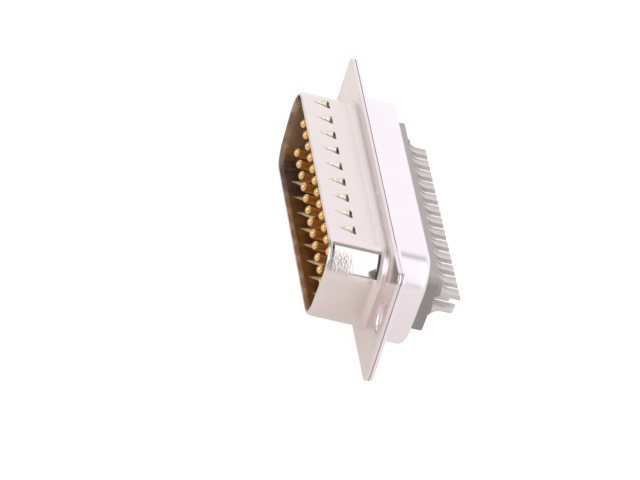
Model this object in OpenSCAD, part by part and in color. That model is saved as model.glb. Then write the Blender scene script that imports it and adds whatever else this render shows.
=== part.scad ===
// 25-way D-subminiature plug for cable or panel, with soldered cups
//
// Two drawn steel shells, riveted by their flanges, clamp two moulded insulators.
// The insulators trap the collars of 25 contacts between them.
// Frame: the origin is the centre of the panel face of the flange, +X runs along the
// connector, +Z points to its wide side with 13 contacts, and it mates towards -Y.
// Inside the modules a piece is drawn on its back: x along it, y to the wide side and
// z in the mating direction.  stood_up() turns it into the frame above.

/* [Flange] */
// Length of the flange
flange_l = 53.04; // [52:0.01:54]
// Width of the flange
flange_w = 12.55; // [12.4:0.01:12.8]
// Radius of the corners of the flange
flange_r = 1.2; // [0.5:0.1:2]
// Distance between the two screw holes
hole_spacing = 47.04; // [46.6:0.01:47.4]
// Diameter of a screw hole
hole_d = 3.05; // [2.6:0.01:3.2]

/* [Sheet] */
// Thickness of the sheet of both shells
sheet = 0.4; // [0.36:0.01:0.42]
// How far the sheared edges of the two flanges draw back from each other
edge_roll = 0.08; // [0.04:0.01:0.12]

/* [Shroud] */
// Length inside the shroud, over the rounding of its wide corners
shroud_l = 38.96; // [38.8:0.01:39.1]
// Width inside the shroud
shroud_w = 8.36; // [8.3:0.01:8.5]
// Height of the shroud over the panel face
shroud_h = 5.92; // [5.6:0.01:6.2]
// Inner radius of the corners of the shroud
shroud_r = 2.6; // [2.3:0.1:2.8]
// Radius of the hollow between the flange and the shroud
root_r = 0.5; // [0.3:0.05:0.6]

/* [Dimples] */
// Spacing of the spring dimples along a wall
dimple_pitch = 3.75; // [3.6:0.05:3.85]
// Dimples in the wide wall
dimples_wide = 9; // [1:9]
// Dimples in the narrow wall
dimples_narrow = 8; // [1:8]
// Place of the middle of both rows of dimples along the connector
dimple_shift = -0.7; // [-0.8:0.1:0.8]
// Length of a dimple
dimple_l = 1.75; // [1.4:0.05:2]
// Width of a dimple at its deep end
dimple_w = 1.8; // [1.2:0.05:1.9]
// Depth of a dimple at its deep end
dimple_deep = 0.54; // [0.3:0.02:0.6]
// Height of the shallow tip of a dimple over the panel face
dimple_tip = 4.8; // [4.4:0.05:4.9]

/* [Rear shell] */
// Length of the rear shell, over the rounding of its wide corners
rear_l = 41.3; // [41:0.1:41.6]
// Width of the rear shell
rear_w = 10.7; // [10.6:0.05:10.8]
// Depth of the rear shell behind the panel face
rear_deep = 4.6; // [4.4:0.05:5]
// Radius of the corners of the rear shell
rear_r = 3.2; // [3:0.1:3.4]
// Radius of the drawn edge round its back
rear_edge_r = 0.7; // [0.6:0.05:0.8]
// Width of the lip that the back keeps round its opening
rear_lip = 1.4; // [1:0.05:1.5]

/* [Insulators] */
// Height of the front insulator over the panel face
face_h = 0.6; // [0.55:0.05:0.8]
// Depth of the joint between the two insulators
split_deep = 2.6; // [2.2:0.1:2.8]
// Depth of the rear insulator behind the panel face
back_deep = 6.1; // [5.8:0.05:6.4]
// Length of the block that stands out of the back, at its wide side
block_l = 37.95; // [37.6:0.05:38.2]
// Width of the block that stands out of the back
block_w = 6.66; // [6.4:0.02:6.9]
// Radius of the corners of that block
block_r = 0.7; // [0.4:0.1:0.8]
// Height of the collar moulded round each contact
boss_h = 0.7; // [0.4:0.05:0.9]
// Diameter at the foot of that collar
boss_d = 2.3; // [2:0.05:2.5]

/* [Contacts] */
// Spacing of the contacts in a row
pitch = 2.76; // [2.74:0.01:2.78]
// Distance between the two rows
row_gap = 2.84; // [2.8:0.01:2.88]
// Diameter of a pin
pin_d = 1.02; // [0.98:0.01:1.06]
// Height of the domed tip of a pin over the panel face
pin_h = 5.1; // [4.9:0.05:5.6]
// Diameter of the collar that the insulators trap
collar_d = 1.8; // [1.75:0.05:2]
// Outside diameter of a solder cup
cup_d = 1.6; // [1.5:0.05:1.7]
// Inside diameter of a solder cup
cup_bore = 1.02; // [0.9:0.02:1.04]
// Depth of the end of the solder cups behind the panel face
cup_deep = 9.2; // [8.8:0.05:9.6]
// Height of the sides of a solder cup over its axis, along its scoop
cup_side = 0; // [0:0.05:0.2]
// Slope of the cut end of a solder cup, in degrees
cup_slope = 22; // [10:2:30]

/* [Hidden] */
$fn = 48;

wide_row = 13;                       // contacts 1 to 13, the rest are in the narrow row
slant = 10.1141;                     // slant of the two ends of the D, 10 degrees nominal
past = 0.5;                          // how far a cutter reaches past what it cuts
strip = 0.3;                         // strip of flange that is swept along with a bend

// A D is a list: half length at mid width, half width, corner radius.
function half_mid(length, width, r) =
    length / 2 - r + r / cos(slant) - (width / 2 - r) * tan(slant);
function grown(d, by) = [d[0] + by / cos(slant), d[1] + by, d[2] + by];

shroud_in = [half_mid(shroud_l, shroud_w, shroud_r), shroud_w / 2, shroud_r];
rear_out = [half_mid(rear_l, rear_w, rear_r), rear_w / 2, rear_r];
rear_in = grown(rear_out, -sheet);
rear_floor = grown(rear_out, -rear_edge_r);
block = [block_l / 2 - block_w / 2 * tan(slant), block_w / 2, block_r];

// Centre of a corner of a D: side is 1 or -1 along x, wide is 1 or -1 along y
function corner(d, side, wide) = [
    side * (d[0] + wide * (d[1] - d[2]) * tan(slant) - d[2] / cos(slant)),
    wide * (d[1] - d[2])
];

// ---- shared forms ----

// Turns a piece from its drawing position into the connector's own frame
module stood_up() rotate([90, 0, 0]) children();

// Solid outline of a D
module d_shape(d) {
    ends = [
        for (w = [1, -1]) corner(d, 1, w) + d[2] * [0, w],
        for (w = [1, -1]) corner(d, 1, w) + d[2] * [cos(slant), -sin(slant)]
    ];
    right = [ends[0], ends[2], ends[3], ends[1]];
    polygon(concat(right, [for (i = [3:-1:0]) [-right[i][0], right[i][1]]]));
    for (side = [1, -1])
        for (wide = [1, -1])
            translate(corner(d, side, wide)) circle(r = d[2]);
}

// Sweeps a section round a D.  In the section x is the distance from the corner centres.
// Each half starts in the wide wall and runs on round both corners of its end, and
// the two halves overlap in the middle of the walls.
module round_d(d) {
    wide = corner(d, 1, 1);
    narrow = corner(d, 1, -1);
    side = norm(wide - narrow);
    for (end = [0, 1])
        mirror([end, 0, 0]) translate(wide) {
            translate([-wide[0] - past, 0, 0]) rotate([90, 0, 90])
                linear_extrude(wide[0] + past) children();
            rotate_extrude(angle = 90) children();
            rotate([0, 0, -slant]) {
                rotate_extrude(angle = slant) children();
                rotate([90, 0, 0]) linear_extrude(side) children();
                translate([0, -side, 0]) rotate([0, 0, slant - 90]) {
                    rotate_extrude(angle = 90 - slant) children();
                    rotate([90, 0, 0]) linear_extrude(narrow[0] + past) children();
                }
            }
        }
}

// A D-shaped block between two heights
module d_block(d, bottom, top)
    translate([0, 0, bottom]) linear_extrude(top - bottom) d_shape(d);

// Outline of a flange, drawn back from its full size by the given amount
module flange_shape(back) {
    x = flange_l / 2 - back;
    y = flange_w / 2 - back;
    r = flange_r - back;
    square([2 * (x - r), 2 * y], center = true);
    square([2 * x, 2 * (y - r)], center = true);
    for (sx = [1, -1])
        for (sy = [1, -1])
            translate([sx * (x - r), sy * (y - r)]) circle(r = r);
}

// A quarter of a bend in the sheet, with its hollow side towards the centre
module bend(inner, turn) {
    rotate(turn) intersection() {
        difference() {
            circle(r = inner + sheet);
            circle(r = inner);
        }
        square(inner + sheet);
    }
}

module screw_holes(deep)
    for (side = [1, -1])
        translate([side * hole_spacing / 2, 0, -deep - past])
            cylinder(d = hole_d, h = deep + 2 * past);

// ---- front shell ----

// Section of the shroud: a rounded rim, the wall and the bend into the flange
module shroud_section() {
    rim_r = sheet / 3;
    wall = shroud_in[2];
    translate([wall, root_r]) square([sheet, shroud_h - root_r - rim_r]);
    translate([wall + rim_r, shroud_h - 2 * rim_r]) square([sheet - 2 * rim_r, 2 * rim_r]);
    for (x = [rim_r, sheet - rim_r])
        translate([wall + x, shroud_h - rim_r]) circle(r = rim_r);
    translate([wall + sheet + root_r, root_r]) bend(root_r, 180);
    translate([wall + sheet + root_r, -sheet]) square([strip, sheet]);
}

// The cone that shapes one dimple.  Its tip lies at the wall, at the shallow end, and
// its axis leans out of the wall, so that its inner line cuts deeper along the dimple.
module dimple_cone(end, skin) {
    slope = atan(dimple_deep / dimple_l);
    side = dimple_l / norm([dimple_w / 2, dimple_l]);
    lean = atan((cos(slope) - side) / sin(slope));
    spread = lean + slope;
    reach = 2 * dimple_l;
    intersection() {
        rotate([180 + lean, 0, 0])
            translate([0, 0, -skin / sin(spread)])
                cylinder(r1 = 0, r2 = reach * tan(spread), h = reach);
        translate([-dimple_w, -dimple_w, -end])
            cube([2 * dimple_w, 2 * dimple_w, 2 * dimple_l]);
    }
}

// Places each dimple of one wall; the wall's outside is the plane y = 0 there
module at_dimples(count, wide) {
    wall = shroud_in[1] + sheet;
    for (i = [0 : count - 1]) {
        x = dimple_shift + (i - (count - 1) / 2) * dimple_pitch;
        translate([x, wide * wall, dimple_tip]) mirror([0, 1 - wide, 0]) children();
    }
}

module front_shell() {
    tip_out = 0.03;                  // the tip of the hollow starts just off the wall
    skin = 0.8 * sheet;              // the sheet thins where it is pressed
    color("gainsboro") stood_up() difference() {
        union() {
            round_d(shroud_in) shroud_section();
            difference() {
                union() {
                    translate([0, 0, edge_roll - sheet])
                        linear_extrude(sheet - edge_roll) flange_shape(0);
                    translate([0, 0, -sheet])
                        linear_extrude(sheet) flange_shape(edge_roll);
                }
                d_block(grown(shroud_in, sheet + root_r + strip / 2), -sheet - past, past);
                screw_holes(sheet);
            }
            for (row = [[dimples_wide, 1], [dimples_narrow, -1]])
                at_dimples(row[0], row[1])
                    intersection() {
                        dimple_cone(dimple_l + skin, skin);
                        translate([-dimple_w, -dimple_w - sheet / 2, -2 * dimple_l])
                            cube([2 * dimple_w, dimple_w, 3 * dimple_l]);
                    }
        }
        for (row = [[dimples_wide, 1], [dimples_narrow, -1]])
            at_dimples(row[0], row[1])
                translate([0, tip_out, 0]) dimple_cone(dimple_l, 0);
    }
}

// ---- rear shell ----

// Section of the rear shell: the bend from its flange, the wall and the drawn edge
module rear_section() {
    wall = rear_out[2] - sheet;
    bend_r = root_r - 0.2;
    inner = rear_edge_r - sheet;
    wall_top = -2 * sheet - bend_r;
    wall_end = -rear_deep + rear_edge_r;
    translate([wall + sheet + bend_r, -2 * sheet]) square([strip, sheet]);
    translate([wall + sheet + bend_r, wall_top]) bend(bend_r, 90);
    translate([wall, wall_end]) square([sheet, wall_top - wall_end]);
    translate([rear_out[2] - rear_edge_r, wall_end]) bend(inner, 270);
    translate([rear_out[2] - rear_lip, -rear_deep])
        square([rear_lip - rear_edge_r, sheet]);
}

module rear_shell() {
    bend_r = root_r - 0.2;
    color("gainsboro") stood_up() union() {
        round_d(rear_out) rear_section();
        difference() {
            union() {
                translate([0, 0, -2 * sheet])
                    linear_extrude(sheet - edge_roll) flange_shape(0);
                translate([0, 0, -2 * sheet])
                    linear_extrude(sheet) flange_shape(edge_roll);
            }
            d_block(grown(rear_out, bend_r + strip / 2), -2 * sheet - past, past);
            screw_holes(2 * sheet);
        }
    }
}

// ---- contacts ----

// Centre of a contact, counted from 1 along the wide row and then the narrow one
function contact_at(n) = n <= wide_row
    ? [(n - 1 - (wide_row - 1) / 2) * pitch, row_gap / 2]
    : [(n - wide_row - 1 - (wide_row - 2) / 2) * pitch, -row_gap / 2];

collar_top = -split_deep + 1;
collar_bottom = -split_deep - 0.8;

// The hole that one contact needs in the insulators
module contact_hole() {
    translate([0, 0, collar_top - past]) cylinder(d = pin_d, h = face_h - collar_top + 2 * past);
    translate([0, 0, collar_bottom]) cylinder(d = collar_d, h = collar_top - collar_bottom);
    translate([0, 0, -back_deep - boss_h - past])
        cylinder(d = cup_d, h = back_deep + boss_h + past + collar_bottom + past);
}

// A contact turned in one piece: a domed pin, a collar and a scooped solder cup.
// The scoop opens away from the other row, so that a wire can be laid in from outside.
module contact(n) {
    place = contact_at(n);
    outward = place[1] > 0 ? 1 : 0;
    bore_deep = 2.5;                 // depth of the drilling for the wire
    scoop_r = 1.1;                   // radius of the cutter that ends the scoop
    scoop_l = 1.35;                  // straight part of the scoop
    stood_up() translate(place) mirror([0, 1 - outward, 0]) {
        color("goldenrod") {
            translate([0, 0, pin_h - pin_d / 2]) sphere(d = pin_d);
            translate([0, 0, collar_top]) cylinder(d = pin_d, h = pin_h - pin_d / 2 - collar_top);
        }
        color("silver") {
            translate([0, 0, collar_bottom])
                cylinder(d = collar_d, h = collar_top - collar_bottom);
            translate([0, 0, -cup_deep]) difference() {
                cylinder(d = cup_d, h = cup_deep + collar_bottom);
                translate([0, 0, -past]) cylinder(d = cup_bore, h = bore_deep + past);
                translate([0, 0, bore_deep])
                    cylinder(d1 = cup_bore, d2 = 0, h = cup_bore * tan(31) / 2);
                translate([-cup_d, cup_side, -past]) cube([2 * cup_d, cup_d, scoop_l + past]);
                translate([-cup_d, cup_side + scoop_r, scoop_l]) rotate([0, 90, 0])
                    cylinder(r = scoop_r, h = 2 * cup_d);
                translate([-cup_d, -cup_d / 2, 0]) rotate([cup_slope, 0, 0])
                    translate([0, -past, -cup_d]) cube([2 * cup_d, 2 * cup_d, cup_d]);
            }
        }
    }
}

// ---- insulators ----

module front_insulator() color("dimgray") stood_up() difference() {
    union() {
        d_block(shroud_in, -sheet, face_h);
        d_block(rear_in, -split_deep, -sheet);
    }
    for (n = [1 : 2 * wide_row - 1]) translate(contact_at(n)) contact_hole();
}

module rear_insulator() color("darkgray") stood_up() difference() {
    union() {
        d_block(rear_in, -rear_deep + rear_edge_r, -split_deep);
        d_block(rear_floor, -rear_deep + sheet, -split_deep);
        d_block(block, -back_deep, -split_deep);
        for (n = [1 : 2 * wide_row - 1])
            translate(contact_at(n)) translate([0, 0, -back_deep - boss_h])
                cylinder(d1 = cup_d + 0.2, d2 = boss_d, h = boss_h);
    }
    for (n = [1 : 2 * wide_row - 1]) translate(contact_at(n)) contact_hole();
}

front_shell();
rear_shell();
front_insulator();
rear_insulator();
for (n = [1 : 2 * wide_row - 1])
    contact(n);
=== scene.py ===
import math

import bmesh
import bpy
from mathutils import Matrix, Vector
from mathutils.geometry import tessellate_polygon


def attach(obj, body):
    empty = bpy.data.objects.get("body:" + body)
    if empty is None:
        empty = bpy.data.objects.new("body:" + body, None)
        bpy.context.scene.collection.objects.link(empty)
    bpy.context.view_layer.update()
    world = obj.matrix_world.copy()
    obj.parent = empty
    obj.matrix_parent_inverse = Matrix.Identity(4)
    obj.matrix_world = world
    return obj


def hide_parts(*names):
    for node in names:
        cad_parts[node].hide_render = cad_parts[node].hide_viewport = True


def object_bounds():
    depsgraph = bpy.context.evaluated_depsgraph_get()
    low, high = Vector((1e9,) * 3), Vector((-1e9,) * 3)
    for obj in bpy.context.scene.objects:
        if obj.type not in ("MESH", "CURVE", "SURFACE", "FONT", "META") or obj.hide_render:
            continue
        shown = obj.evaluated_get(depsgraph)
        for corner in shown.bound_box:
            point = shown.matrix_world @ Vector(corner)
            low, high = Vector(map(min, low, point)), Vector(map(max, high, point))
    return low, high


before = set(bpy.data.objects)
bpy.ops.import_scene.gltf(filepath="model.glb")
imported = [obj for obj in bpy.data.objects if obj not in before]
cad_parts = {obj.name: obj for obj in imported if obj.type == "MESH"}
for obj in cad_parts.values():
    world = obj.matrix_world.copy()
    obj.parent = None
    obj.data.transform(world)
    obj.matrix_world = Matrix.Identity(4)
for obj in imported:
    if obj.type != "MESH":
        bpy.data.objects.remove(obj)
cad_box = [list(corner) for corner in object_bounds()]


# ---- Front shell ----
# One blank of 0.4 mm steel sheet, drawn into a D-shaped shroud with a bend at its foot,
# pierced for two screws, pressed inwards in a row of spring dimples along each long wall
# and tin plated.  Pieces are drawn on their backs in millimetres: x along the connector,
# y to its wide side, z in the mating direction.

SHEET = 0.4
SLANT = math.radians(10.1141)
FLANGE_X, FLANGE_Y, FLANGE_R, FLANGE_CORNER_STEPS = 53.04 / 2, 12.55 / 2, 1.2, 12
HOLE_X, HOLE_R, HOLE_STEPS = 47.04 / 2, 3.05 / 2, 64
# A punched edge, as distances back from the cut and down from the face: the punch rolls the
# edge of one face over, and breaks out of the other.
EDGE_ROLLED = ((0.12, 0), (0.05, 0.02), (0.012, 0.06), (0, 0.12))
EDGE_BROKEN = ((0, 0.12), (0.02, 0.05), (0.08, 0))
HOLE_ROLLED = ((0.06, 0), (0.015, 0.015), (0, 0.06))
HOLE_BROKEN = ((0, 0.04), (0.03, 0))
STOOD_UP = Matrix.Rotation(math.pi / 2, 4, "X") @ Matrix.Scale(0.001, 4)


def d_shape(length, width, radius):
    """A D as its half length at mid width, half width and corner radius.  The given length
    is measured over the rounding of the wide corners."""
    half = (
        length / 2
        - radius
        + radius / math.cos(SLANT)
        - (width / 2 - radius) * math.tan(SLANT)
    )
    return half, width / 2, radius


def grown(d, by):
    """A D moved outwards all round."""
    return (d[0] + by / math.cos(SLANT), d[1] + by, d[2] + by)


def corner_centre(d, side, wide):
    """Centre of a corner's rounding; side is 1 at +x, wide is 1 on the wide side."""
    half, half_width, radius = d
    lift = half_width - radius
    return (
        side * (half + wide * lift * math.tan(SLANT) - radius / math.cos(SLANT)),
        wide * lift,
    )


def round_corner(d, side, wide, start, stop, steps):
    """Stations round one corner of a D.  A station turns a distance from the corner centres
    and a height into a point."""
    cx, cy = corner_centre(d, side, wide)
    turns = [start + (stop - start) * i / steps for i in range(steps + 1)]
    return [
        lambda r, z, a=a: Vector((cx + r * math.cos(a), cy + r * math.sin(a), z))
        for a in turns
    ]


def round_the_d(d, wide_wall=(), narrow_wall=(), steps=12):
    """Stations all round a D, anticlockwise; the walls' own stations go between the corners."""
    left, right = math.pi + SLANT, -SLANT
    return (
        list(wide_wall)
        + round_corner(d, -1, 1, math.pi / 2, left, steps)
        + round_corner(d, -1, -1, left, 1.5 * math.pi, steps)
        + list(narrow_wall)
        + round_corner(d, 1, -1, -math.pi / 2, right, steps)
        + round_corner(d, 1, 1, right, math.pi / 2, steps)
    )


def arc(cx, cz, radius, start, stop, steps):
    """Points of an arc in a section, angles in degrees."""
    turns = [math.radians(start + (stop - start) * i / steps) for i in range(steps + 1)]
    return [(cx + radius * math.cos(a), cz + radius * math.sin(a)) for a in turns]


def bridge(bm, ring_a, ring_b):
    """A band of faces between two rings of equal count."""
    for i in range(len(ring_a)):
        k = (i + 1) % len(ring_a)
        bm.faces.new((ring_a[i], ring_a[k], ring_b[k], ring_b[i]))


def lay_ring(bm, points):
    return [bm.verts.new(p) for p in points]


def bridge_rings(bm, rings):
    for ring_a, ring_b in zip(rings, rings[1:]):
        bridge(bm, ring_a, ring_b)


def sweep(bm, stations, section):
    """Carries a section round the stations and returns its first and last ring."""
    rings = [lay_ring(bm, [s(r, z) for s in stations]) for r, z in section]
    bridge_rings(bm, rings)
    return rings[0], rings[-1]


def fill_flat(bm, outline, holes):
    """A flat face inside an outline and round its holes."""
    rings = [outline] + holes
    flat = [v for ring in rings for v in ring]
    for face in tessellate_polygon([[v.co for v in ring] for ring in rings]):
        bm.faces.new([flat[i] for i in face])


def flange_outline(back, z):
    """Rounded rectangle, drawn back from the full size of the flange."""
    points = []
    reach = FLANGE_R - back
    for k, (sx, sy) in enumerate(((1, 1), (-1, 1), (-1, -1), (1, -1))):
        for i in range(FLANGE_CORNER_STEPS + 1):
            a = math.pi / 2 * (k + i / FLANGE_CORNER_STEPS)
            points.append(
                Vector(
                    (
                        sx * (FLANGE_X - FLANGE_R) + reach * math.cos(a),
                        sy * (FLANGE_Y - FLANGE_R) + reach * math.sin(a),
                        z,
                    )
                )
            )
    return points


def circle(cx, cy, radius, z, steps):
    """Points of a level circle."""
    turns = [2 * math.pi * i / steps for i in range(steps)]
    return [
        Vector((cx + radius * math.cos(a), cy + radius * math.sin(a), z)) for a in turns
    ]


def flange_plate(bm, show, back, ring_show, ring_back):
    """The flat flange between its show face and its back, round the drawn D."""
    way = 1 if show > back else -1

    def punched(rolled, broken):
        """A punched edge from the show face to the back, as distance off the cut and height."""
        return [(off, show - way * down) for off, down in rolled] + [
            (off, back + way * down) for off, down in broken
        ]

    outlines = [
        lay_ring(bm, flange_outline(off, z)) for off, z in punched(EDGE_ROLLED, EDGE_BROKEN)
    ]
    bridge_rings(bm, outlines)
    screw_holes = []
    for side in (-1, 1):
        rings = [
            lay_ring(bm, circle(side * HOLE_X, 0, HOLE_R + off, z, HOLE_STEPS))
            for off, z in punched(HOLE_ROLLED, HOLE_BROKEN)
        ]
        bridge_rings(bm, rings)
        screw_holes.append(rings)
    fill_flat(bm, outlines[0], [ring_show] + [rings[0] for rings in screw_holes])
    fill_flat(bm, outlines[-1], [ring_back] + [rings[-1] for rings in screw_holes])


def finish_piece(bm, name, material):
    """Stands a piece up in the connector's frame, with normals weighted by face area."""
    bmesh.ops.recalc_face_normals(bm, faces=bm.faces)
    bm.transform(STOOD_UP)
    mesh = bpy.data.meshes.new(name)
    bm.to_mesh(mesh)
    bm.free()
    mesh.shade_smooth()
    mesh.materials.append(material)
    piece = bpy.data.objects.new(name, mesh)
    bpy.context.scene.collection.objects.link(piece)
    even = piece.modifiers.new("even", "WEIGHTED_NORMAL")
    even.keep_sharp = True
    bake_modifiers(piece)
    return piece


def bake_modifiers(piece):
    """Turns a piece's modifiers into a plain mesh and removes them."""
    graph = bpy.context.evaluated_depsgraph_get()
    graph.update()
    baked = bpy.data.meshes.new_from_object(piece.evaluated_get(graph))
    piece.modifiers.clear()
    piece.data = baked
    baked.name = piece.name


def linear(colour):
    """An sRGB hex colour as linear RGBA."""
    parts = [int(colour[i : i + 2], 16) / 255 for i in (1, 3, 5)]
    return tuple(
        c / 12.92 if c <= 0.04045 else ((c + 0.055) / 1.055) ** 2.4 for c in parts
    ) + (1.0,)


def add_node(tree, kind, inputs=None, **settings):
    """Adds a node with its settings; an input is a value or the socket that feeds it."""
    node = tree.nodes.new(kind)
    for name, value in settings.items():
        setattr(node, name, value)
    for socket, value in (inputs or {}).items():
        if isinstance(value, bpy.types.NodeSocket):
            tree.links.new(value, node.inputs[socket])
        else:
            node.inputs[socket].default_value = value
    return node


def new_material(name):
    """A material with its node tree and its shader."""
    material = bpy.data.materials.new(name)
    material.use_nodes = True
    tree = material.node_tree
    return material, tree, tree.nodes["Principled BSDF"]


# Zones of the shroud's plating, in metres in the connector's frame.  The die burnishes the
# wide corners, beyond x and above z, the flange less and the bend at the foot not at all.
BURNISH_FROM_X, BURNISH_SOFT_X, BURNISH_RAGGED = 0.0167, 0.0006, 0.0005
BURNISH_FROM_Z, BURNISH_SOFT_Z = 0.0014, 0.0008
BEND_MIDDLE_Y, BEND_HALF = -0.00027, 0.00023
FLANGE_ABOVE_Y, FLANGE_RUBBED_LESS = -0.00004, 0.45
# The punch rubs the inside of the wall, which is all that lies below this distance from the
# middle, half as much as the die rubs the corners.
WALL_MIDDLE_Y, WALL_HALF = -0.003035, 0.002285
PUNCHED_BELOW_Z, PUNCHED_SOFT_Z, PUNCH_SHARE = 0.00456, 0.00003, 0.5
# Towards the rim and the ends, the draw ripples what the die burnished and dulls it again.
RIPPLED_FROM_X, RIPPLED_TO_X, RIPPLED_FROM_Y, RIPPLED_TO_Y = 0.0182, 0.0193, -0.0026, -0.0042
RIPPLE_DULLS, RIPPLE_BY_PUNCH, RIPPLE_LEAN = 0.85, 0.5, 520.0
SATIN, GLOSSY, BEND_MATTER = 0.30, 0.08, 0.13
# Grey-yellow patches and painted shade lie in the dimples; painted shade lies in the seam, and
# fades out along one ear.
DIMPLED_Y, DIMPLED_HALF = -0.003, 0.002
SEAM_HALF, SEAM_FADES_FROM_X, SEAM_FADES_TO_X, SEAM_SHADE_LEFT = 0.00004, 0.019, 0.021, 0.25


def dimple_patches_and_shade(tree, at, clean):
    """Ragged grey-yellow patches on the dimples' slope, and painted shade at their steep end."""
    place = add_node(tree, "ShaderNodeSeparateXYZ", {"Vector": at})
    turned = add_node(
        tree,
        "ShaderNodeSeparateXYZ",
        {"Vector": add_node(tree, "ShaderNodeNewGeometry").outputs["True Normal"]},
    )
    along = add_node(
        tree, "ShaderNodeMath", {0: place.outputs["X"]}, operation="ABSOLUTE"
    )
    by_dimples = add_node(
        tree,
        "ShaderNodeMath",
        {0: along.outputs["Value"], 1: BURNISH_FROM_X},
        operation="LESS_THAN",
    )
    on_wall = add_node(
        tree,
        "ShaderNodeMath",
        {0: place.outputs["Y"], 1: DIMPLED_Y, 2: DIMPLED_HALF},
        operation="COMPARE",
    )
    in_reach = add_node(
        tree,
        "ShaderNodeMath",
        {0: by_dimples.outputs["Value"], 1: on_wall.outputs["Value"]},
        operation="MULTIPLY",
    )
    blotches = add_node(
        tree, "ShaderNodeTexNoise", {"Vector": at, "Scale": 2600.0, "Detail": 3.0}
    )
    # The wall looks straight along z.  The slope leans off that, and the steep end looks
    # towards the rim.
    upright = add_node(
        tree, "ShaderNodeMath", {0: turned.outputs["Z"]}, operation="ABSOLUTE"
    )
    slope = add_node(
        tree,
        "ShaderNodeMapRange",
        {"Value": upright.outputs["Value"], "From Min": 0.985, "From Max": 0.975},
    )
    slope_patches = add_node(
        tree,
        "ShaderNodeMapRange",
        {
            "Value": blotches.outputs["Fac"],
            "From Min": 0.46,
            "From Max": 0.6,
            "To Min": 0.15,
            "To Max": 0.7,
        },
    )
    steep = add_node(
        tree,
        "ShaderNodeMapRange",
        {"Value": turned.outputs["Y"], "From Min": -0.35, "From Max": -0.8},
    )
    steep_patches = add_node(
        tree,
        "ShaderNodeMapRange",
        {
            "Value": blotches.outputs["Fac"],
            "From Min": 0.4,
            "From Max": 0.52,
            "To Min": 0.15,
        },
    )
    shade = clean
    # The slope gets grey-yellow patches; the steep end is painted dark as shade.
    for face, cover, colour in (
        (slope, slope_patches, "#BAB29C"),
        (steep, steep_patches, "#3A332C"),
    ):
        patched = add_node(
            tree,
            "ShaderNodeMath",
            {0: face.outputs["Result"], 1: cover.outputs["Result"]},
            operation="MULTIPLY",
        )
        kept = add_node(
            tree,
            "ShaderNodeMath",
            {0: patched.outputs["Value"], 1: in_reach.outputs["Value"]},
            operation="MULTIPLY",
        )
        shade = add_node(
            tree,
            "ShaderNodeMix",
            {"Factor": kept.outputs["Value"], "A": shade, "B": linear(colour)},
            data_type="RGBA",
        ).outputs["Result"]
    return shade


def painted_seam_shade(tree, at, clean):
    """Painted shade along the seam between the two flanges, fading out along one ear."""
    place = add_node(tree, "ShaderNodeSeparateXYZ", {"Vector": at})
    in_seam = add_node(
        tree,
        "ShaderNodeMath",
        {0: place.outputs["Y"], 1: SHEET / 1000, 2: SEAM_HALF},
        operation="COMPARE",
    )
    fading = add_node(
        tree,
        "ShaderNodeMapRange",
        {
            "Value": place.outputs["X"],
            "From Min": SEAM_FADES_FROM_X,
            "From Max": SEAM_FADES_TO_X,
            "To Min": 1.0,
            "To Max": SEAM_SHADE_LEFT,
        },
    )
    kept = add_node(
        tree,
        "ShaderNodeMath",
        {0: in_seam.outputs["Value"], 1: fading.outputs["Result"]},
        operation="MULTIPLY",
    )
    # The seam is painted dark as shade, less of it along one ear.
    return add_node(
        tree,
        "ShaderNodeMix",
        {"Factor": kept.outputs["Value"], "A": clean, "B": linear("#6A605A")},
        data_type="RGBA",
    ).outputs["Result"]


def mottled(tree, at, colour, patch_colour, scale, detail):
    """Soft patches of a second colour, about scale of them to a metre.  Gives the colour,
    and the patches for a bump."""
    patches = add_node(
        tree, "ShaderNodeTexNoise", {"Vector": at, "Scale": scale, "Detail": detail}
    ).outputs["Fac"]
    shade = add_node(
        tree,
        "ShaderNodeMix",
        {"Factor": patches, "A": linear(colour), "B": linear(patch_colour)},
        data_type="RGBA",
    ).outputs["Result"]
    return shade, patches


# Bright tin plate on drawn sheet.  It is pale, warm and satin on the flat walls; the die
# burnishes the wide corners of the shroud until they mirror the room.  Faint draw lines,
# 0.1 mm apart and so coarser than real ones, run in the drawing direction.
tin_front, tree, skin = new_material("bright_tin_plate")
at = add_node(tree, "ShaderNodeTexCoord").outputs["Object"]
shade, _ = mottled(tree, at, "#EFE4E3", "#E8DDDC", 350.0, 3.0)
lines_at = add_node(
    tree, "ShaderNodeMapping", {"Vector": at, "Scale": (1.0, 0.06, 1.0)}
)
draw_lines = add_node(
    tree,
    "ShaderNodeTexNoise",
    {"Vector": lines_at.outputs["Vector"], "Scale": 9000.0, "Detail": 2.0},
)

# Burnished by the die
axes = add_node(tree, "ShaderNodeSeparateXYZ", {"Vector": at})
away = add_node(tree, "ShaderNodeMath", {0: axes.outputs["X"]}, operation="ABSOLUTE")
ragged = add_node(
    tree, "ShaderNodeTexNoise", {"Vector": at, "Scale": 2600.0, "Detail": 4.0}
)
ragged_by = add_node(
    tree,
    "ShaderNodeMapRange",
    {
        "Value": ragged.outputs["Fac"],
        "To Min": -BURNISH_RAGGED,
        "To Max": BURNISH_RAGGED,
    },
)
from_x = add_node(
    tree,
    "ShaderNodeMath",
    {0: away.outputs["Value"], 1: ragged_by.outputs["Result"]},
    operation="ADD",
)
in_x = add_node(
    tree,
    "ShaderNodeMapRange",
    {
        "Value": from_x.outputs["Value"],
        "From Min": BURNISH_FROM_X,
        "From Max": BURNISH_FROM_X + BURNISH_SOFT_X,
    },
    interpolation_type="SMOOTHSTEP",
)
in_z = add_node(
    tree,
    "ShaderNodeMapRange",
    {
        "Value": axes.outputs["Z"],
        "From Min": BURNISH_FROM_Z,
        "From Max": BURNISH_FROM_Z + BURNISH_SOFT_Z,
    },
    interpolation_type="SMOOTHSTEP",
)
wide_corner = add_node(
    tree,
    "ShaderNodeMath",
    {0: in_x.outputs["Result"], 1: in_z.outputs["Result"]},
    operation="MULTIPLY",
)
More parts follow.
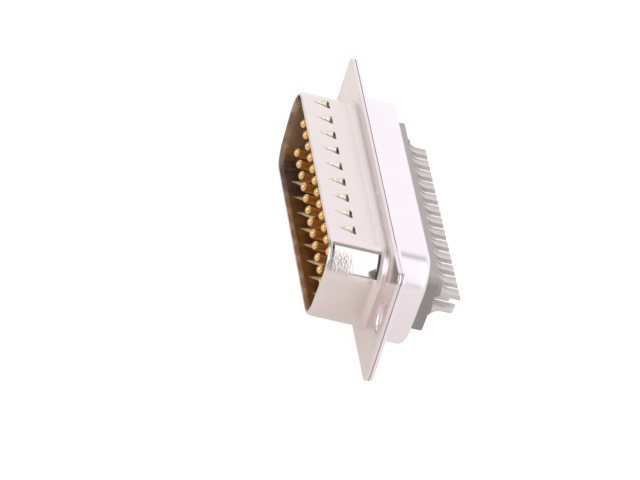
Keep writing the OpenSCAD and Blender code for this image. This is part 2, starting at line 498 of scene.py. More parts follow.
in_bend = add_node(
    tree,
    "ShaderNodeMath",
    {0: axes.outputs["Y"], 1: BEND_MIDDLE_Y, 2: BEND_HALF},
    operation="COMPARE",
)
on_flange = add_node(
    tree,
    "ShaderNodeMath",
    {0: axes.outputs["Y"], 1: FLANGE_ABOVE_Y},
    operation="GREATER_THAN",
)
less_rubbed = add_node(
    tree,
    "ShaderNodeMath",
    {
        0: on_flange.outputs["Value"],
        1: FLANGE_RUBBED_LESS,
        2: in_bend.outputs["Value"],
    },
    operation="MULTIPLY_ADD",
)
by_die = add_node(
    tree,
    "ShaderNodeMath",
    {0: wide_corner.outputs["Value"], 1: less_rubbed.outputs["Value"]},
    operation="SUBTRACT",
    use_clamp=True,
)

# Rubbed by the punch: inside the wall, which at the ends is what looks to the middle
high = add_node(tree, "ShaderNodeMath", {0: axes.outputs["Z"]}, operation="ABSOLUTE")
pressed = add_node(
    tree,
    "ShaderNodeMapRange",
    {
        "Value": high.outputs["Value"],
        "From Min": PUNCHED_BELOW_Z - PUNCHED_SOFT_Z,
        "From Max": PUNCHED_BELOW_Z,
        "To Min": PUNCH_SHARE,
        "To Max": 0.0,
    },
)
turned_x = add_node(
    tree,
    "ShaderNodeSeparateXYZ",
    {"Vector": add_node(tree, "ShaderNodeNewGeometry").outputs["True Normal"]},
).outputs["X"]
outwards = add_node(
    tree,
    "ShaderNodeMath",
    {0: axes.outputs["X"], 1: turned_x},
    operation="MULTIPLY",
)
turned_in = add_node(
    tree, "ShaderNodeMath", {0: outwards.outputs["Value"], 1: 0.0}, operation="LESS_THAN"
)
long_walls = add_node(
    tree,
    "ShaderNodeMath",
    {0: away.outputs["Value"], 1: BURNISH_FROM_X},
    operation="LESS_THAN",
)
not_outside = add_node(
    tree,
    "ShaderNodeMath",
    {0: long_walls.outputs["Value"], 1: turned_in.outputs["Value"]},
    operation="MAXIMUM",
)
on_wall = add_node(
    tree,
    "ShaderNodeMath",
    {0: axes.outputs["Y"], 1: WALL_MIDDLE_Y, 2: WALL_HALF},
    operation="COMPARE",
)
inside = add_node(
    tree,
    "ShaderNodeMath",
    {0: on_wall.outputs["Value"], 1: not_outside.outputs["Value"]},
    operation="MULTIPLY",
)
by_punch = add_node(
    tree,
    "ShaderNodeMath",
    {0: pressed.outputs["Result"], 1: inside.outputs["Value"]},
    operation="MULTIPLY",
)
burnished = add_node(
    tree,
    "ShaderNodeMath",
    {0: by_die.outputs["Value"], 1: by_punch.outputs["Value"]},
    operation="MAXIMUM",
)

# Rippled by the draw
near_rim = add_node(
    tree,
    "ShaderNodeMapRange",
    {
        "Value": axes.outputs["Y"],
        "From Min": RIPPLED_FROM_Y,
        "From Max": RIPPLED_TO_Y,
    },
)
near_end = add_node(
    tree,
    "ShaderNodeMapRange",
    {
        "Value": away.outputs["Value"],
        "From Min": RIPPLED_FROM_X,
        "From Max": RIPPLED_TO_X,
    },
)
rippled = add_node(
    tree,
    "ShaderNodeMath",
    {0: near_rim.outputs["Result"], 1: near_end.outputs["Result"]},
    operation="MULTIPLY",
)
ripple_strength = add_node(
    tree,
    "ShaderNodeMath",
    {0: rippled.outputs["Value"], 1: by_die.outputs["Value"]},
    operation="MULTIPLY",
)
dulled = add_node(
    tree,
    "ShaderNodeMath",
    {
        0: rippled.outputs["Value"],
        1: -RIPPLE_DULLS,
        2: burnished.outputs["Value"],
    },
    operation="MULTIPLY_ADD",
)
gloss = add_node(
    tree,
    "ShaderNodeMapRange",
    {"Value": dulled.outputs["Value"], "To Min": SATIN, "To Max": GLOSSY},
)
matt_bend = add_node(
    tree,
    "ShaderNodeMath",
    {0: in_bend.outputs["Value"], 1: BEND_MATTER, 2: gloss.outputs["Result"]},
    operation="MULTIPLY_ADD",
)
leaning = add_node(
    tree,
    "ShaderNodeMath",
    {
        0: axes.outputs["Y"],
        1: RIPPLE_LEAN,
        2: add_node(
            tree, "ShaderNodeTexNoise", {"Vector": at, "Scale": 4000.0, "Detail": 3.0}
        ).outputs["Fac"],
    },
    operation="MULTIPLY_ADD",
)
uneven = add_node(
    tree,
    "ShaderNodeMath",
    {
        0: by_punch.outputs["Value"],
        1: RIPPLE_BY_PUNCH,
        2: ripple_strength.outputs["Value"],
    },
    operation="MULTIPLY_ADD",
)
ripple = add_node(
    tree,
    "ShaderNodeBump",
    {
        "Height": leaning.outputs["Value"],
        "Strength": uneven.outputs["Value"],
        "Distance": 0.00004,
    },
)
grain = add_node(
    tree,
    "ShaderNodeBump",
    {
        "Height": draw_lines.outputs["Fac"],
        "Strength": 0.05,
        "Distance": 0.00002,
        "Normal": ripple.outputs["Normal"],
    },
)
# Inside the wall the colour is mixed up to half-way towards a warm beige.
warm_inside = add_node(
    tree,
    "ShaderNodeMix",
    {"Factor": by_punch.outputs["Value"], "A": shade, "B": linear("#DED3BC")},
    data_type="RGBA",
)
# The seam between the flanges is painted dark as shade.
seamed = painted_seam_shade(tree, at, warm_inside.outputs["Result"])
skin.inputs["Metallic"].default_value = 1.0
# The dimples get grey-yellow patches and painted shade at their steep end.
tree.links.new(dimple_patches_and_shade(tree, at, seamed), skin.inputs["Base Color"])
tree.links.new(matt_bend.outputs["Value"], skin.inputs["Roughness"])
tree.links.new(grain.outputs["Normal"], skin.inputs["Normal"])

# The shroud with its dimples.  Columns of the mesh close up at each dimple's tip and
# spread to its deep end, so that its creases run along edges.  Inside, the pressed sheet
# stands out as a slightly wider and longer bump.
SHROUD = d_shape(length=38.96, width=8.36, radius=2.6)
SHROUD_H, ROOT_R, STRIP, SHROUD_CORNER_STEPS = 5.92, 0.5, 0.25, 24
RIM_LONG, RIM_OUT, RIM_IN, FOOT_LONG = 0.6, 0.34, 0.06, 0.85
DIMPLES_WIDE, DIMPLES_NARROW = 9, 8
DIMPLE_PITCH, DIMPLE_SHIFT = 3.75, -0.7
DIMPLE_LONG, DIMPLE_HALF, DIMPLE_DEEP, DIMPLE_TIP = 1.75, 0.9, 0.54, 4.8
PRESSED_SHEET, DIMPLE_END, SHOULDER = 0.8 * SHEET, 0.12, 0.12
TIP_HALF, TIP_SPREAD, STEEP_ROWS, RAMP_ROWS = 0.03, 0.7, 3, 10
ROWS_BY_FOOT, ROW_BELOW_STEEP, ROWS_OVER_TIP = (0.9, 1.6), 0.06, (0.1, 0.3)
HALF_DIMPLE = (0, 0.25, 0.5, 0.7, 0.85, 0.95, 1.03, 1.12, 1.3)
ACROSS_DIMPLE = [-v for v in HALF_DIMPLE[:0:-1]] + list(HALF_DIMPLE)


def dimple_press(z, across, inside):
    """Half width of a dimple's columns at a height, and how far it is pressed in there."""
    long = DIMPLE_LONG + (PRESSED_SHEET if inside else 0)
    half = DIMPLE_HALF + (SHEET / 4 if inside else 0)
    deep = DIMPLE_DEEP - (SHEET - PRESSED_SHEET if inside else 0)
    down = DIMPLE_TIP - z
    share = min(max(down / long, 0), 1)
    spread = TIP_HALF + (half - TIP_HALF) * share - min(down, 0) * TIP_SPREAD
    along = min(down / long, (long + DIMPLE_END - down) / DIMPLE_END)
    left = 1 - across * across
    rounded = (left + math.hypot(left, SHOULDER)) / 2
    return min(spread, half), deep * max(along, 0) * rounded


def dimpled_wall(d, wide, count):
    """Stations along one long wall of the shroud."""
    gap = d[1] - d[2]
    columns = []
    for i in range(count):
        middle = DIMPLE_SHIFT + (i - (count - 1) / 2) * DIMPLE_PITCH
        columns += [(middle, across) for across in ACROSS_DIMPLE]
        columns.append((middle + DIMPLE_PITCH / 2, None))

    def station(middle, across):
        if across is None:
            return lambda r, z: Vector((middle, wide * (gap + r), z))

        def place(r, z):
            half, press = dimple_press(z, across, r < d[2] + SHEET / 2)
            return Vector((middle + across * half, wide * (gap + r - press), z))

        return place

    stations = [station(*column) for column in columns[:-1]]
    return stations[::-1] if wide > 0 else stations


def dimple_rows(long):
    """Heights of the rows of mesh through a dimple, from its steep end to its tip."""
    foot_of_ramp = DIMPLE_TIP - long
    steep = [foot_of_ramp - DIMPLE_END * (1 - i / STEEP_ROWS) for i in range(STEEP_ROWS)]
    ramp = [DIMPLE_TIP - long * (1 - i / RAMP_ROWS) for i in range(RAMP_ROWS + 1)]
    over = [DIMPLE_TIP + up for up in ROWS_OVER_TIP]
    return [*ROWS_BY_FOOT, steep[0] - ROW_BELOW_STEEP] + steep + ramp + over


wall_in = SHROUD[2]
wall_out = wall_in + SHEET
foot = wall_out + ROOT_R
rolled_rim = [
    (r, SHROUD_H - RIM_LONG * (1 - up / RIM_OUT))
    for r, up in arc(wall_out - RIM_OUT, 0, RIM_OUT, 0, 90, 16)
]
bent_foot = [
    (r, FOOT_LONG * (1 + up / ROOT_R)) for r, up in arc(foot, 0, ROOT_R, 270, 180, 18)
]
shroud_section = (
    [(foot + STRIP, 0)]
    + bent_foot
    + [(wall_out, z) for z in dimple_rows(DIMPLE_LONG)]
    + rolled_rim
    + arc(wall_in + RIM_IN, SHROUD_H - RIM_IN, RIM_IN, 90, 180, 4)
    + [(wall_in, z) for z in reversed(dimple_rows(DIMPLE_LONG + PRESSED_SHEET))]
    + arc(foot, ROOT_R, ROOT_R + SHEET, 180, 270, 12)
    + [(foot + STRIP, -SHEET)]
)

bm = bmesh.new()
ring_show, ring_back = sweep(
    bm,
    round_the_d(
        SHROUD,
        dimpled_wall(SHROUD, 1, DIMPLES_WIDE),
        dimpled_wall(SHROUD, -1, DIMPLES_NARROW),
        SHROUD_CORNER_STEPS,
    ),
    shroud_section,
)
flange_plate(bm, 0, -SHEET, ring_show, ring_back)
front_shell = finish_piece(bm, "front_shell_drawn", tin_front)
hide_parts("front_shell")
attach(front_shell, "root")


# ---- Front insulator ----
# A block moulded in dark glass-filled polyester.  It fills the foot of the shroud and holds
# the pins upright; its counterbores take the upper halves of the contact collars.

PITCH, ROW_GAP, WIDE_ROW = 2.76, 2.84, 13
FACE_H, SPLIT = 0.6, -2.6
LEAD_IN, LEAD_IN_DEEP, FACE_EASED, SHROUD_GAP, BORE_STEPS = 0.12, 0.15, 0.1, 0.02, 32
PIN_R, COLLAR_R, CUP_R = 0.51, 0.9, 0.79
COLLAR_TOP, COLLAR_BOTTOM = SPLIT + 1, SPLIT - 0.8
REAR_OUT = d_shape(length=41.3, width=10.7, radius=3.2)
REAR_IN = grown(REAR_OUT, -SHEET)

contact_places = [
    (PITCH * (i - (count - 1) / 2), side * ROW_GAP / 2)
    for side, count in ((1, WIDE_ROW), (-1, WIDE_ROW - 1))
    for i in range(count)
]


def moulded_block(name, levels, bore, material):
    """A block with a D-shaped outline at each level and the same stepped bore at each contact."""
    bm = bmesh.new()
    rings = [lay_ring(bm, [s(d[2], z) for s in round_the_d(d)]) for d, z in levels]
    bridge_rings(bm, rings)
    first, last = [], []
    for cx, cy in contact_places:
        steps = [lay_ring(bm, circle(cx, cy, r, z, BORE_STEPS)) for r, z in bore]
        bridge_rings(bm, steps)
        first.append(steps[0])
        last.append(steps[-1])
    fill_flat(bm, rings[0], first)
    fill_flat(bm, rings[-1], last)
    return finish_piece(bm, name, material)


# Polyester with short glass fibres: matt from a spark-eroded mould, with the fibres as a
# fine pale speckle of 0.1 mm.
def moulded_polyester(name, colour, fleck, roughness):
    """The same moulding compound in another colour."""
    material, tree, skin = new_material(name)
    at = add_node(tree, "ShaderNodeTexCoord").outputs["Object"]
    fibres = add_node(
        tree, "ShaderNodeTexNoise", {"Vector": at, "Scale": 9000.0, "Detail": 3.0}
    )
    spread = add_node(
        tree,
        "ShaderNodeMapRange",
        {"Value": fibres.outputs["Fac"], "From Min": 0.35, "From Max": 0.75},
    )
    shade = add_node(
        tree,
        "ShaderNodeMix",
        {
            "Factor": spread.outputs["Result"],
            "A": linear(colour),
            "B": linear(fleck),
        },
        data_type="RGBA",
    )
    mould_skin = add_node(
        tree,
        "ShaderNodeBump",
        {"Height": fibres.outputs["Fac"], "Strength": 0.25, "Distance": 0.00003},
    )
    skin.inputs["Roughness"].default_value = roughness
    skin.inputs["IOR"].default_value = 1.55
    tree.links.new(shade.outputs["Result"], skin.inputs["Base Color"])
    tree.links.new(mould_skin.outputs["Normal"], skin.inputs["Normal"])
    return material


dark_polyester = moulded_polyester("dark_moulded_polyester", "#2C1508", "#3C200C", 0.5)
shroud_fit = grown(SHROUD, -SHROUD_GAP)
front_insulator = moulded_block(
    "front_insulator_moulded",
    [
        (grown(shroud_fit, -FACE_EASED), FACE_H),
        (shroud_fit, FACE_H - FACE_EASED),
        (shroud_fit, -SHEET),
        (REAR_IN, -SHEET),
        (REAR_IN, SPLIT),
    ],
    [
        (PIN_R + LEAD_IN, FACE_H),
        (PIN_R, FACE_H - LEAD_IN_DEEP),
        (PIN_R, COLLAR_TOP),
        (COLLAR_R, COLLAR_TOP),
        (COLLAR_R, SPLIT),
    ],
    dark_polyester,
)
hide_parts("front_insulator")
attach(front_insulator, "root")


# ---- Contacts ----
# 25 contacts turned from brass bar.  The pin has a domed tip, the collar is trapped
# between the insulators, and the cup is drilled and milled open on its outer side for a
# wire.  The pins are flashed with gold, the cups are tinned.

PIN_TIP, CUP_END = 5.1, -9.2
CUP_BORE_R, CUP_BORE_END = 0.48, CUP_END + 2.5
CUP_SIDE, SCOOP_FROM, SCOOP_R = -0.05, CUP_END + 1.35, 1.1
END_SLOPE = math.tan(math.radians(22))
DOME_STEPS, DOME_STEP, COLLAR_EASED, NECK_EASED = 10, math.radians(8.2), 0.05, 0.1
TURNED_STEPS, WASTE, DRILL_POINT, DRILL_TIP_R = 48, 0.3, 0.3, 0.02
SAW_REACH, SAW_DEEP, SAW_HALF, CUTTER_HALF, TOOL_START = 1.5, 2, 1.3, 1.2, CUP_END - 1


def lathe(bm, profile, steps):
    """Turns a profile of (radius, height); its ends lie on the axis."""
    rings = [lay_ring(bm, circle(0, 0, r, z, steps)) for r, z in profile[1:-1]]
    bridge_rings(bm, rings)
    for ring, z in ((rings[0], profile[0][1]), (rings[-1], profile[-1][1])):
        tip = bm.verts.new((0, 0, z))
        for i in range(steps):
            bm.faces.new((ring[i], ring[(i + 1) % steps], tip))


def prism(bm, outline, half):
    """A prism along x over an outline in y and z."""
    ends = [lay_ring(bm, [(x, y, z) for y, z in outline]) for x in (-half, half)]
    bridge(bm, *ends)
    for ring in ends:
        bm.faces.new(ring)


def rough_part(name, make):
    """A blank or a cutting tool in drawing units, from a function that fills its mesh."""
    bm = bmesh.new()
    make(bm)
    bmesh.ops.recalc_face_normals(bm, faces=bm.faces)
    mesh = bpy.data.meshes.new(name)
    bm.to_mesh(mesh)
    bm.free()
    part = bpy.data.objects.new(name, mesh)
    bpy.context.scene.collection.objects.link(part)
    return part


turned_profile = (
    [(0, PIN_TIP)]
    + [
        (PIN_R * math.cos(a), PIN_TIP - PIN_R + PIN_R * math.sin(a))
        for a in [DOME_STEP * i for i in range(DOME_STEPS, -1, -1)]
    ]
    + [
        (PIN_R, COLLAR_TOP + NECK_EASED),
        (PIN_R + NECK_EASED, COLLAR_TOP),
        (COLLAR_R - COLLAR_EASED, COLLAR_TOP),
        (COLLAR_R, COLLAR_TOP - COLLAR_EASED),
        (COLLAR_R, COLLAR_BOTTOM),
        (CUP_R, COLLAR_BOTTOM),
        (CUP_R, CUP_END - WASTE),
        (0, CUP_END - WASTE),
    ]
)
contact = rough_part("contact", lambda bm: lathe(bm, turned_profile, TURNED_STEPS))
drill = rough_part(
    "drill",
    lambda bm: lathe(
        bm,
        [
            (0, TOOL_START),
            (CUP_BORE_R, TOOL_START),
            (CUP_BORE_R, CUP_BORE_END),
            (DRILL_TIP_R, CUP_BORE_END + DRILL_POINT),
            (0, CUP_BORE_END + DRILL_POINT + 0.01),
        ],
        TURNED_STEPS,
    ),
)
cutter_curve = [
    (
        CUP_SIDE + SCOOP_R * (1 - math.cos(math.radians(a))),
        SCOOP_FROM + SCOOP_R * math.sin(math.radians(a)),
    )
    for a in range(0, 91, 6)
]
cutter = rough_part(
    "cutter",
    lambda bm: prism(
        bm,
        [(CUP_SIDE, TOOL_START)] + cutter_curve + [(CUP_SIDE + SCOOP_R, TOOL_START)],
        CUTTER_HALF,
    ),
)
saw = rough_part(
    "saw",
    lambda bm: prism(
        bm,
        [
            (-SAW_REACH, CUP_END - (SAW_REACH - CUP_R) * END_SLOPE),
            (SAW_REACH, CUP_END + (SAW_REACH + CUP_R) * END_SLOPE),
            (SAW_REACH, CUP_END - SAW_DEEP),
            (-SAW_REACH, CUP_END - SAW_DEEP),
        ],
        SAW_HALF,
    ),
)
# The drill bores the cup, the cutter opens its outer side, the saw parts it at a slant.
for tool in (drill, cutter, saw):
    cut = contact.modifiers.new(tool.name, "BOOLEAN")
    cut.object = tool
    cut.solver = "EXACT"
bake_modifiers(contact)
for tool in (drill, cutter, saw):
    bpy.data.objects.remove(tool)
contact.data.transform(STOOD_UP)
contact.data.shade_smooth()
contact.data.set_sharp_from_angle(angle=math.radians(35))

# Hard gold over nickel on a turned pin: warm yellow, smooth, with a fine turning lay.
gold_flash, tree, skin = new_material("hard_gold_flash")
at = add_node(tree, "ShaderNodeTexCoord").outputs["Object"]
shade, _ = mottled(tree, at, "#FDD18E", "#F3BD72", 2500.0, 2.0)
turning = add_node(
    tree,
    "ShaderNodeTexWave",
    {"Vector": at, "Scale": 4000.0, "Distortion": 1.0, "Detail": 1.0},
    bands_direction="Y",
)
lay = add_node(
    tree,
    "ShaderNodeBump",
    {"Height": turning.outputs["Fac"], "Strength": 0.08, "Distance": 0.00001},
)
skin.inputs["Metallic"].default_value = 1.0
skin.inputs["Roughness"].default_value = 0.24
tree.links.new(shade, skin.inputs["Base Color"])
tree.links.new(lay.outputs["Normal"], skin.inputs["Normal"])

# Hot-dipped tin on the cups: soft, pinkish white, slightly uneven where it froze.
dipped_tin, tree, skin = new_material("dipped_tin")
at = add_node(tree, "ShaderNodeTexCoord").outputs["Object"]
shade, frozen = mottled(tree, at, "#E6E0DF", "#D8D2D1", 1800.0, 3.0)
uneven = add_node(
    tree, "ShaderNodeBump", {"Height": frozen, "Strength": 0.3, "Distance": 0.00006}
)
skin.inputs["Metallic"].default_value = 1.0
skin.inputs["Roughness"].default_value = 0.5
tree.links.new(shade, skin.inputs["Base Color"])
tree.links.new(uneven.outputs["Normal"], skin.inputs["Normal"])

# The wide row runs on one side and the narrow row, with one contact less, on the other side
# and turned half round, so that the cups of both rows open outwards.
rows = bpy.data.node_groups.new("contact_rows", "GeometryNodeTree")
rows.interface.new_socket("Contact", in_out="INPUT", socket_type="NodeSocketGeometry")
row_inputs = {
    "Wide Row Count": ("NodeSocketInt", WIDE_ROW),
    "Pitch": ("NodeSocketFloat", PITCH / 1000),
    "Row Gap": ("NodeSocketFloat", ROW_GAP / 1000),
    "Tin From": ("NodeSocketFloat", -COLLAR_TOP / 1000),
}
row_sockets = {
    name: rows.interface.new_socket(name, in_out="INPUT", socket_type=kind)
    for name, (kind, value) in row_inputs.items()
}
rows.interface.new_socket("Contacts", in_out="OUTPUT", socket_type="NodeSocketGeometry")
given = add_node(rows, "NodeGroupInput").outputs
both_rows = add_node(rows, "GeometryNodeJoinGeometry")
for way, turn in ((1, 0), (-1, math.pi)):
    count = given["Wide Row Count"]
    if way < 0:
        count = add_node(
            rows, "ShaderNodeMath", {0: count, 1: 1.0}, operation="SUBTRACT"
        ).outputs["Value"]
    gaps = add_node(
        rows, "ShaderNodeMath", {0: count, 1: 1.0}, operation="SUBTRACT"
    ).outputs["Value"]
    span = add_node(
        rows, "ShaderNodeMath", {0: gaps, 1: given["Pitch"]}, operation="MULTIPLY"
    ).outputs["Value"]
    start_x = add_node(
        rows, "ShaderNodeMath", {0: span, 1: -0.5}, operation="MULTIPLY"
    ).outputs["Value"]
    start_z = add_node(
        rows,
        "ShaderNodeMath",
        {0: given["Row Gap"], 1: way * 0.5},
        operation="MULTIPLY",
    ).outputs["Value"]
    start = add_node(rows, "ShaderNodeCombineXYZ", {"X": start_x, "Z": start_z})
    step = add_node(rows, "ShaderNodeCombineXYZ", {"X": given["Pitch"]})
    line = add_node(
        rows,
        "GeometryNodeMeshLine",
        {
            "Count": count,
            "Start Location": start.outputs["Vector"],
            "Offset": step.outputs["Vector"],
        },
        mode="OFFSET",
    )
    placed = add_node(
        rows,
        "GeometryNodeInstanceOnPoints",
        {
            "Points": line.outputs["Mesh"],
            "Instance": given["Contact"],
            "Rotation": (0.0, turn, 0.0),
        },
    )
    rows.links.new(placed.outputs["Instances"], both_rows.inputs["Geometry"])
real = add_node(
    rows, "GeometryNodeRealizeInstances", {"Geometry": both_rows.outputs["Geometry"]}
)
all_gold = add_node(
    rows,
    "GeometryNodeSetMaterial",
    {"Geometry": real.outputs["Geometry"], "Material": gold_flash},
)
depth = add_node(
    rows,
    "ShaderNodeSeparateXYZ",
    {"Vector": add_node(rows, "GeometryNodeInputPosition").outputs["Position"]},
)
behind = add_node(
    rows,
    "FunctionNodeCompare",
    {"A": depth.outputs["Y"], "B": given["Tin From"]},
    operation="GREATER_THAN",
)
plated = add_node(
    rows,
    "GeometryNodeSetMaterial",
    {
        "Geometry": all_gold.outputs["Geometry"],
        "Selection": behind.outputs["Result"],
        "Material": dipped_tin,
    },
)
add_node(rows, "NodeGroupOutput", {"Contacts": plated.outputs["Geometry"]})

contacts = contact
contacts.name = "contacts_turned"
array = contacts.modifiers.new("rows", "NODES")
array.node_group = rows
for name, (kind, value) in row_inputs.items():
    array[row_sockets[name].identifier] = value
bake_modifiers(contacts)
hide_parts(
    *[f"contact_{n:02d}" for n in range(1, len(contact_places) + 1)]
)
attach(contacts, "root")


# ---- Rear insulator ----
# The second moulded block, in grey polyester.  It closes the rear shell, stands out of its
# back, and carries a small collar round the root of each solder cup.

REAR_DEEP, REAR_EDGE_R, REAR_LIP = 4.6, 0.7, 1.4
BLOCK_BACK, BLOCK_LONG, BLOCK_HALF, BLOCK_R, EASED = -6.1, 37.95, 3.33, 0.7, 0.09
BOSS_H, BOSS_R, BOSS_TAPER, BOSS_FOOT = 0.7, 1.15, 0.1, 0.15
BLOCK = (BLOCK_LONG / 2 - BLOCK_HALF * math.tan(SLANT), BLOCK_HALF, BLOCK_R)

grey_polyester = moulded_polyester("grey_moulded_polyester", "#AFA6A5", "#BBB2B1", 0.42)
rear_insulator = moulded_block(
    "rear_insulator_moulded",
    [
        (REAR_IN, SPLIT),
        (REAR_IN, -REAR_DEEP + REAR_EDGE_R),
        (grown(REAR_OUT, -REAR_EDGE_R), -REAR_DEEP + SHEET),
        (BLOCK, -REAR_DEEP + SHEET),
        (BLOCK, BLOCK_BACK + EASED),
        (grown(BLOCK, -0.3 * EASED), BLOCK_BACK + 0.3 * EASED),
        (grown(BLOCK, -EASED), BLOCK_BACK),
    ],
    [
        (COLLAR_R, SPLIT),
        (COLLAR_R, COLLAR_BOTTOM),
        (CUP_R, COLLAR_BOTTOM),
        (CUP_R, BLOCK_BACK - BOSS_H),
        (CUP_R + BOSS_TAPER, BLOCK_BACK - BOSS_H),
        (BOSS_R - BOSS_TAPER, BLOCK_BACK - BOSS_FOOT),
        (BOSS_R, BLOCK_BACK),
    ],
    grey_polyester,
)
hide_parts("rear_insulator")
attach(rear_insulator, "root")


# ---- Rear shell ----
# The second drawn shell.  Its flange lies on the front one, its wall bends away from it,
# and its drawn edge keeps a lip that holds both insulators in.

BEND_R = ROOT_R - 0.2
REAR_WALL_ROWS, LIP_EDGE_R = (-1.6, -2.6, -3.5), 0.06
# Two specks of dirt on the wide wall, in metres in the connector's frame
SPECKS = ((-0.00156, 0.00294, 0.00535), (0.00938, 0.0022, 0.00535))
SPECK_R = 0.00005

# Satin tin plate, paler and softer than on the front shell, because this shell is
# barrelled before plating.
tin_rear, tree, skin = new_material("satin_tin_plate")
at = add_node(tree, "ShaderNodeTexCoord").outputs["Object"]
shade, _ = mottled(tree, at, "#FAF3FA", "#F6EEF6", 300.0, 3.0)
matt = add_node(
    tree, "ShaderNodeTexNoise", {"Vector": at, "Scale": 12000.0, "Detail": 2.0}
)
grain = add_node(
    tree,
    "ShaderNodeBump",
    {"Height": matt.outputs["Fac"], "Strength": 0.05, "Distance": 0.00002},
)
# The seam on this shell is painted dark as shade too.
specked = painted_seam_shade(tree, at, shade)
for speck in SPECKS:
    from_speck = add_node(
        tree, "ShaderNodeVectorMath", {0: at, 1: speck}, operation="DISTANCE"
    )
    on_speck = add_node(
        tree,
        "ShaderNodeMath",
        {0: from_speck.outputs["Value"], 1: SPECK_R},
        operation="LESS_THAN",
    )
    specked = add_node(
        tree,
        "ShaderNodeMix",
        {"Factor": on_speck.outputs["Value"], "A": specked, "B": linear("#5A5249")},
        data_type="RGBA",
    ).outputs["Result"]
skin.inputs["Metallic"].default_value = 1.0
skin.inputs["Roughness"].default_value = 0.32
tree.links.new(specked, skin.inputs["Base Color"])
tree.links.new(grain.outputs["Normal"], skin.inputs["Normal"])

rear_out_r = REAR_OUT[2]
bend_at = (rear_out_r + BEND_R, -2 * SHEET - BEND_R)
edge_at = (rear_out_r - REAR_EDGE_R, -REAR_DEEP + REAR_EDGE_R)
lip_edge_r = rear_out_r - REAR_LIP + LIP_EDGE_R
rear_section = (
    [(bend_at[0] + STRIP, -2 * SHEET)]
    + arc(*bend_at, BEND_R, 90, 180, 10)
    + [(rear_out_r, z) for z in REAR_WALL_ROWS]
    + arc(*edge_at, REAR_EDGE_R, 0, -90, 14)
    + arc(lip_edge_r, -REAR_DEEP + LIP_EDGE_R, LIP_EDGE_R, -90, -180, 4)
    + arc(lip_edge_r, -REAR_DEEP + SHEET - LIP_EDGE_R, LIP_EDGE_R, 180, 90, 4)
    + arc(*edge_at, REAR_EDGE_R - SHEET, -90, 0, 10)
    + [(rear_out_r - SHEET, z) for z in (REAR_WALL_ROWS[-1], REAR_WALL_ROWS[0])]
    + arc(*bend_at, BEND_R + SHEET, 180, 90, 10)
    + [(bend_at[0] + STRIP, -SHEET)]
)
bm = bmesh.new()
rear_stations = round_the_d(REAR_OUT, steps=SHROUD_CORNER_STEPS)
ring_show, ring_back = sweep(bm, rear_stations, rear_section)
flange_plate(bm, -2 * SHEET, -SHEET, ring_show, ring_back)
rear_shell = finish_piece(bm, "rear_shell_drawn", tin_rear)
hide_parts("rear_shell")
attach(rear_shell, "root")


# ---- Floor and room ----
# A white table top under the connector, in a white room with a softbox overhead.  A black
# flag round the softbox draws the dark lines that give bright metal its form.

FLOOR_HALF, FLOOR_GAP = 1.5, 0.00002
GLOW_SEEN, GLOW_MIRRORED = 0.86, 0.6
floor_mesh = bpy.data.meshes.new("table_top")
level = cad_box[0][2] - FLOOR_GAP
floor_mesh.from_pydata(
    [
        (sx * FLOOR_HALF, sy * FLOOR_HALF, level)
        for sx, sy in ((-1, -1), (1, -1), (1, 1), (-1, 1))
    ],
    [],
    [(0, 1, 2, 3)],
)
floor = bpy.data.objects.new("table_top", floor_mesh)
bpy.context.scene.collection.objects.link(floor)

# White laminate.  The room lights it and it glows a little as well, so that it comes out
# white and still keeps the connector's shadow.
white_table, tree, skin = new_material("white_table_top")
skin.inputs["Base Color"].default_value = linear("#9C9B9A")
skin.inputs["Roughness"].default_value = 0.9
seen = add_node(tree, "ShaderNodeLightPath")
straight = add_node(
    tree,
    "ShaderNodeMath",
    {0: seen.outputs["Is Camera Ray"], 1: GLOW_SEEN},
    operation="MULTIPLY",
)
mirrored = add_node(
    tree,
    "ShaderNodeMath",
    {
        0: seen.outputs["Is Glossy Ray"],
        1: GLOW_MIRRORED,
        2: straight.outputs["Value"],
    },
    operation="MULTIPLY_ADD",
)
glow = add_node(
    tree,
    "ShaderNodeMix",
    {
        "Factor": seen.outputs["Is Camera Ray"],
        "A": linear("#FFF9F3"),
        "B": (1.0, 1.0, 1.0, 1.0),
    },
    data_type="RGBA",
)
tree.links.new(glow.outputs["Result"], skin.inputs["Emission Color"])
tree.links.new(mirrored.outputs["Value"], skin.inputs["Emission Strength"])
floor_mesh.materials.append(white_table)

# Each part of the room is laid over the ones before it, as a brightness between two turns
# in the upright plane along the connector and between two shares sideways, each with the
# softness of its borders.  Turns are degrees: 0 is level at the near end, 90 straight up,
# 180 level at the far end, and beyond a whole turn there is no border.  Sideways, 1 is
# straight towards the cups and -1 straight towards the pins.
ROOM_BRIGHTNESS = 1.05
PARTS_OF_ROOM = {
    "dim side by the pins": (0.25, (-400.0, 400.0, 8.0), (-2.0, -0.5, 0.1)),
    "window in that side": (2.5, (40.0, 140.0, 8.0), (-2.0, -0.78, 0.08)),
    "grey ceiling": (0.4, (40.0, 121.0, 6.0), (-0.27, 0.8, 0.05)),
    "black flag": (0.08, (-1.0, 104.0, 1.5), (-0.27, 0.8, 0.03)),
    "softbox": (1.45, (4.0, 104.0, 2.5), (0.12, 0.8, 0.03)),
}

room = bpy.data.worlds.new("room")
room.use_nodes = True
bpy.context.scene.world = room
tree = room.node_tree
tree.nodes.clear()
way = add_node(tree, "ShaderNodeTexCoord").outputs["Generated"]
axes = add_node(tree, "ShaderNodeSeparateXYZ", {"Vector": way})
turn = add_node(
    tree,
    "ShaderNodeMath",
    {0: axes.outputs["Z"], 1: axes.outputs["X"]},
    operation="ARCTAN2",
)
degrees = add_node(
    tree, "ShaderNodeMath", {0: turn.outputs["Value"]}, operation="DEGREES"
).outputs["Value"]


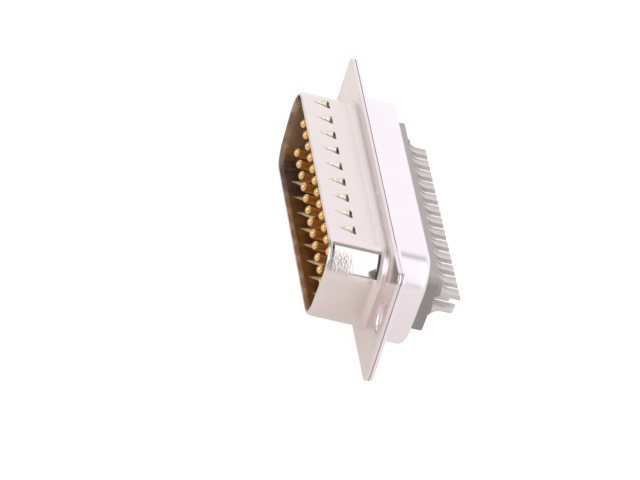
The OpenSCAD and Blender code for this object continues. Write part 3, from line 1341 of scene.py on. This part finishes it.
def between(value, low, high, soft):
    """1 between two values, with soft edges."""
    rise = add_node(
        tree,
        "ShaderNodeMapRange",
        {"Value": value, "From Min": low - soft, "From Max": low + soft},
        interpolation_type="SMOOTHSTEP",
    )
    fall = add_node(
        tree,
        "ShaderNodeMapRange",
        {
            "Value": value,
            "From Min": high - soft,
            "From Max": high + soft,
            "To Min": 1.0,
            "To Max": 0.0,
        },
        interpolation_type="SMOOTHSTEP",
    )
    return add_node(
        tree,
        "ShaderNodeMath",
        {0: rise.outputs["Result"], 1: fall.outputs["Result"]},
        operation="MULTIPLY",
    ).outputs["Value"]


brightness = ROOM_BRIGHTNESS
for part, (level, turns, sideways) in PARTS_OF_ROOM.items():
    area = add_node(
        tree,
        "ShaderNodeMath",
        {0: between(degrees, *turns), 1: between(axes.outputs["Y"], *sideways)},
        operation="MULTIPLY",
        label=part,
    )
    brightness = add_node(
        tree,
        "ShaderNodeMix",
        {"Factor": area.outputs["Value"], "A": brightness, "B": level},
        data_type="FLOAT",
    ).outputs["Result"]
# Seen straight, the room is plain white.
seen = add_node(tree, "ShaderNodeLightPath")
strength = add_node(
    tree,
    "ShaderNodeMix",
    {"Factor": seen.outputs["Is Camera Ray"], "A": brightness, "B": 1.0},
    data_type="FLOAT",
)
lamp = add_node(
    tree,
    "ShaderNodeBackground",
    {"Color": (1.0, 1.0, 1.0, 1.0), "Strength": strength.outputs["Result"]},
)
add_node(tree, "ShaderNodeOutputWorld", {"Surface": lamp.outputs["Background"]})


# ---- Camera ----
# A long lens, 0.67 m away, above the near end and a little to the mating side.

CAMERA_AT = Vector((0.599808, -0.138043, 0.268699))
LOOKS_ALONG = Vector((-0.89186, 0.20092, -0.40521))
PICTURE_RIGHT = Vector((0.08683, 0.95532, 0.28257))
lens = bpy.data.cameras.new("camera")
lens.sensor_width = 36.0
lens.lens = 363.6
lens.clip_start = 0.05
lens.clip_end = 10.0
camera = bpy.data.objects.new("camera", lens)
picture_up = PICTURE_RIGHT.cross(LOOKS_ALONG)
turned = Matrix((PICTURE_RIGHT, picture_up, -LOOKS_ALONG)).transposed().to_quaternion()
camera.matrix_world = Matrix.LocRotScale(CAMERA_AT, turned.normalized(), None)
bpy.context.scene.collection.objects.link(camera)
bpy.context.scene.camera = camera
bpy.context.scene.view_settings.view_transform = "Standard"
